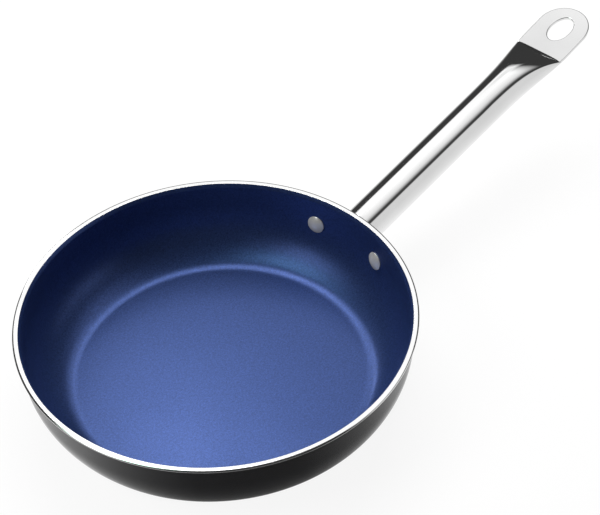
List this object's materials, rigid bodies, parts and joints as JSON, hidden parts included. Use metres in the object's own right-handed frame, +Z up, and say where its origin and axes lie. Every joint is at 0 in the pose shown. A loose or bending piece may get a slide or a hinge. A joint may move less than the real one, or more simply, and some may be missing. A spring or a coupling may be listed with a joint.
{
  "type": "frying pan",
  "caption": "Deep round frying pan with a blue non-stick inside, black enamelled outside, bright steel rim band and a riveted tubular steel handle with an oval hanging hole.",
  "frame": {"origin": "the pan's axis where it meets the plane that the base rests on", "axes": "+Z up out of the pan, +X from the pan's axis along the handle"},
  "size_m": [0.4658, 0.24, 0.0853],
  "materials": {
    "body_steel": "bare pressed steel, covered by the coatings",
    "nonstick": "satin blue non-stick coating with a fine grain",
    "black_enamel": "glossy black enamel",
    "rim_steel": "mirror-polished stainless steel",
    "polished_steel": "mirror-polished stainless steel",
    "weld_steel": "satin weld bead",
    "rivet_metal": "satin, slightly tumbled"
  },
  "bodies": {
    "root": {"pan_body": "body_steel", "nonstick_lining": "nonstick", "outer_enamel": "black_enamel", "rim_band": "rim_steel", "handle_tube": "polished_steel", "handle_bracket": "polished_steel", "handle_weld": "weld_steel", "rivets": "rivet_metal"}
  },
  "joints": []
}
